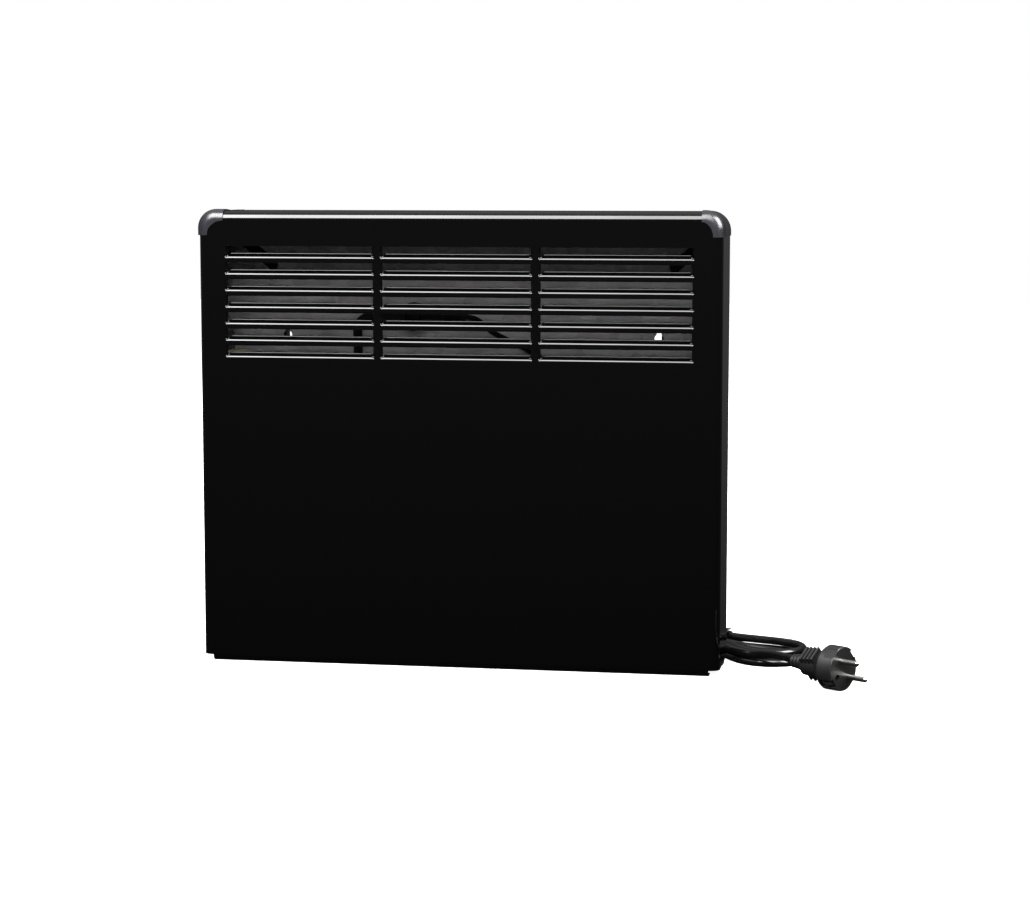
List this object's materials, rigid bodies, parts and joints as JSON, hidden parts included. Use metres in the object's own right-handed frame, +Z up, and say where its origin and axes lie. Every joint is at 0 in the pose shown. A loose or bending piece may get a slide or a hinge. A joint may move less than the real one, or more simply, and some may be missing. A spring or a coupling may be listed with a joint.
{
  "type": "convector heater",
  "caption": "Slim black electric wall convector with a louvred pressed steel front, rounded corner caps, side controls, rear wall bracket and a hanked mains lead with its plug.",
  "frame": {"origin": "centre of the base of the heater and its bracket, without the mains lead", "axes": "+X to the right seen from the front, +Y to the back, towards the wall, +Z up"},
  "size_m": [0.577, 0.2358, 0.3918],
  "materials": {
    "casing_black": "satin black powder coat",
    "cap_grey": "moulded plastic, fine grain",
    "galvanised": "galvanised sheet with faint spangle",
    "bracket_black": "black powder coat",
    "zinc_screw": "zinc plated",
    "black_plastic": "moulded plastic",
    "glossy_black": "moulded plastic",
    "rocker_red": "moulded plastic",
    "cream_phenolic": "moulded resin",
    "shaft_steel": "turned",
    "fin_aluminium": "mill finish",
    "rod_steel": "heat tinted",
    "nickel": "nickel plated",
    "brass_part": "plain",
    "silicone_red": "silicone",
    "ceramic_bead": "fired bead",
    "white_plastic": "moulded plastic",
    "cord_black": "soft sheath",
    "plug_black": "moulded on the cord",
    "sleeve_black": "braided glass sleeve, varnished",
    "wire_brown": "insulated wire",
    "wire_blue": "insulated wire",
    "wire_green": "insulated wire"
  },
  "bodies": {
    "heater": {"front_casing": "casing_black", "corner_cap_left": "cap_grey", "corner_cap_right": "cap_grey", "rear_panel": "galvanised", "casing_screws": "zinc_screw", "control_panel": "black_plastic", "control_screws": "zinc_screw", "thermostat_body": "cream_phenolic", "switch_body": "glossy_black", "heating_fins": "fin_aluminium", "heating_rod": "rod_steel", "rod_seals": "ceramic_bead", "rod_terminals": "nickel", "element_bracket_left": "galvanised", "element_bracket_right": "galvanised", "element_bushes": "silicone_red", "element_screws": "zinc_screw", "limiter_holder": "glossy_black", "limiter_body": "glossy_black", "limiter_lead_left": "sleeve_black", "limiter_lead_right": "sleeve_black", "terminal_block": "white_plastic", "terminal_screws": "zinc_screw", "switch_wire": "wire_brown", "element_wire": "wire_brown", "neutral_wire": "wire_blue", "earth_wire": "wire_green", "earth_screw": "brass_part", "cord_gland": "black_plastic", "gland_nut": "black_plastic", "cord_stub": "cord_black", "core_live": "wire_brown", "core_neutral": "wire_blue", "core_earth": "wire_green", "cord_lead": "cord_black", "cord_hank": "cord_black", "cord_tail": "cord_black", "cord_tie": "black_plastic", "plug_body": "plug_black", "plug_pins": "nickel", "plug_earth_clips": "nickel"},
    "dial": {"thermostat_knob": "black_plastic", "thermostat_shaft": "shaft_steel"},
    "rocker": {"power_rocker": "rocker_red"},
    "bracket": {"wall_bracket": "bracket_black", "bracket_clips": "black_plastic"}
  },
  "joints": [
    {"name": "dial_turn", "type": "hinge", "parent": "heater", "child": "dial", "pos_m": [-0.214, -0.0026, 0.254], "axis": [1, 0, 0], "range_deg": [0, 270]},
    {"name": "rocker_tilt", "type": "hinge", "parent": "heater", "child": "rocker", "pos_m": [-0.2128, -0.0026, 0.2], "axis": [0, 1, 0], "range_deg": [0, 18]},
    {"name": "bracket_lift", "type": "slide", "parent": "heater", "child": "bracket", "axis": [0, 0, 1], "range_m": [-0.012, 0]}
  ]
}
